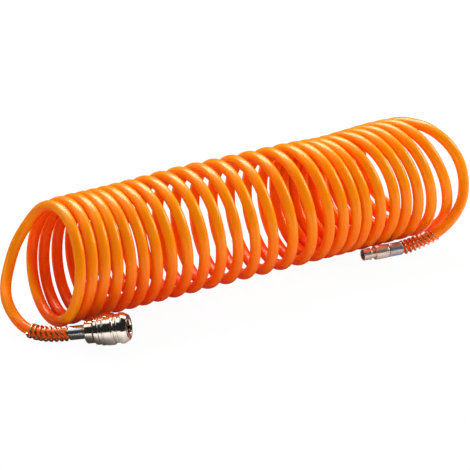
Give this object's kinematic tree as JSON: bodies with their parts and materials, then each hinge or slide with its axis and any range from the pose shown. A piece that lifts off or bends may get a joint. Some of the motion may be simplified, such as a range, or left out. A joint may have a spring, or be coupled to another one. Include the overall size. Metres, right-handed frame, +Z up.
{
  "type": "coiled air hose",
  "caption": "Orange plastic recoil air hose with a quick coupler on one tail and a plug on the other, each guarded by a wire spring.",
  "frame": {"origin": "on the floor under the coil's axis, halfway between its outermost turns", "axes": "+X along the coil's axis, from the coupler's end to the plug's end; -Y towards the side where both fittings lie; +Z up"},
  "size_m": [0.4705, 0.1438, 0.1127],
  "materials": {
    "hose": "glossy, slightly translucent orange polyurethane",
    "nickel": "bright nickel plate on brass",
    "zinc": "satin zinc plate on steel",
    "spring_steel": "bright drawn wire",
    "brass": "turned brass",
    "rubber": "matt black nitrile rubber"
  },
  "bodies": {
    "hose": {"hose_coil": "hose", "hose_tail_coupler": "hose", "hose_tail_plug": "hose", "coupler_kink_spring": "spring_steel", "plug_kink_spring": "spring_steel", "coupler_ferrule": "zinc", "plug_ferrule": "zinc", "coupler_stem": "brass", "coupler_rear_body": "nickel", "coupler_barrel": "nickel", "sleeve_spring": "spring_steel", "sleeve_retaining_clip": "spring_steel", "valve_spring": "spring_steel", "front_seal": "rubber", "plug_nipple": "nickel"},
    "sleeve": {"coupler_sleeve": "nickel"},
    "valve": {"valve_poppet": "brass"},
    "ball_1": {"locking_ball_1": "spring_steel"},
    "ball_2": {"locking_ball_2": "spring_steel"},
    "ball_3": {"locking_ball_3": "spring_steel"},
    "ball_4": {"locking_ball_4": "spring_steel"}
  },
  "joints": [
    {"name": "sleeve_slide", "type": "slide", "parent": "hose", "child": "sleeve", "axis": [-0.7408, 0.644, -0.1908], "range_m": [0, 0.0045], "stiffness_N_per_m": 2000, "springref_m": -0.006, "deforming": ["sleeve_spring"]},
    {"name": "valve_slide", "type": "slide", "parent": "hose", "child": "valve", "axis": [-0.7408, 0.644, -0.1908], "range_m": [0, 0.0035], "stiffness_N_per_m": 600, "springref_m": -0.006, "deforming": ["valve_spring"]},
    {"name": "ball_1_slide", "type": "slide", "parent": "hose", "child": "ball_1", "axis": [0.3621, 0.6222, 0.6941], "range_m": [0, 0.0019]},
    {"name": "ball_2_slide", "type": "slide", "parent": "hose", "child": "ball_2", "axis": [-0.5657, -0.4451, 0.6941], "range_m": [0, 0.0019]},
    {"name": "ball_3_slide", "type": "slide", "parent": "hose", "child": "ball_3", "axis": [-0.3621, -0.6222, -0.6941], "range_m": [0, 0.0019]},
    {"name": "ball_4_slide", "type": "slide", "parent": "hose", "child": "ball_4", "axis": [0.5657, 0.4451, -0.6941], "range_m": [0, 0.0019]}
  ],
  "couplings": [
    {"joint": "ball_1_slide", "follows": "sleeve_slide", "ratio": 0.42},
    {"joint": "ball_2_slide", "follows": "sleeve_slide", "ratio": 0.42},
    {"joint": "ball_3_slide", "follows": "sleeve_slide", "ratio": 0.42},
    {"joint": "ball_4_slide", "follows": "sleeve_slide", "ratio": 0.42}
  ]
}
